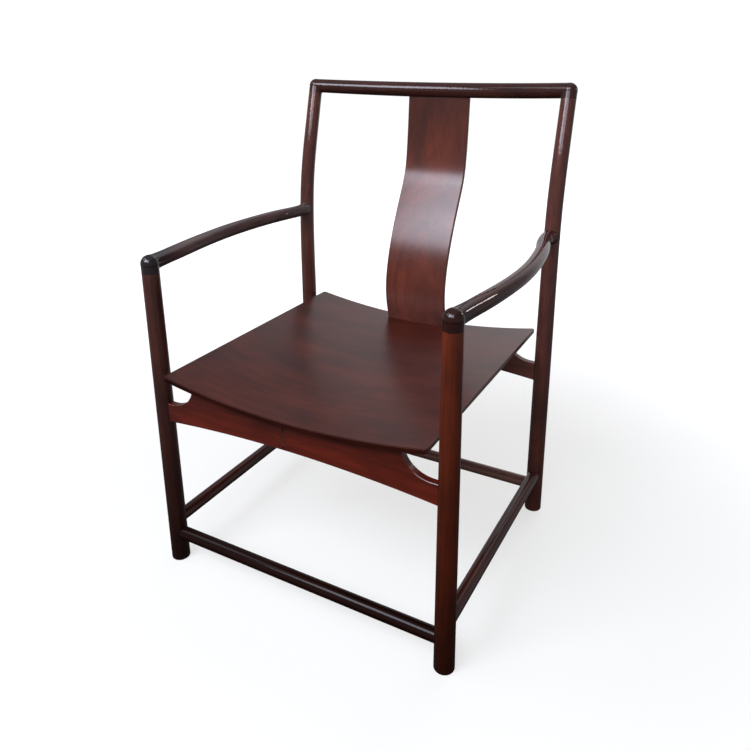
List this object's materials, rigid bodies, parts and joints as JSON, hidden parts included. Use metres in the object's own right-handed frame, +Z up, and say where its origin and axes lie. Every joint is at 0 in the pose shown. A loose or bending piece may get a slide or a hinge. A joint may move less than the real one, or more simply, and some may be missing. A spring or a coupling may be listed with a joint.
{
  "type": "low-back armchair",
  "caption": "Round-rod wooden armchair with a bowed crest rail, bent back splat, bowed arms, dished sheet seat, scooped aprons and low stretchers.",
  "frame": {"origin": "on the floor, under the middle of the chair's outline", "axes": "+Z up; -Y towards the front, where a sitter's feet go; +X to the right as seen from the front"},
  "size_m": [0.6718, 0.643, 0.928],
  "materials": {
    "leg_wood": "dark red-brown lacquered hardwood, satin gloss",
    "rail_wood": "darker brown lacquered hardwood, satin gloss",
    "splat_wood": "red-brown lacquered hardwood, satin gloss",
    "seat_wood": "red-brown lacquered hardwood, satin gloss",
    "apron_wood": "dark red-brown lacquered hardwood, satin gloss",
    "stretcher_wood": "dark brown lacquered hardwood, satin gloss",
    "dowel_wood": "plain pale hardwood"
  },
  "bodies": {
    "root": {"front_leg_left": "leg_wood", "front_leg_right": "leg_wood", "back_post_left": "leg_wood", "back_post_right": "leg_wood", "crest_rail": "rail_wood", "arm_left": "rail_wood", "arm_right": "rail_wood", "back_splat": "splat_wood", "seat_panel": "seat_wood", "front_apron": "apron_wood", "rear_apron": "apron_wood", "centre_batten": "apron_wood", "front_stretcher": "stretcher_wood", "rear_stretcher": "stretcher_wood", "side_stretcher_left": "stretcher_wood", "side_stretcher_right": "stretcher_wood", "seat_dowels": "dowel_wood"}
  },
  "joints": []
}
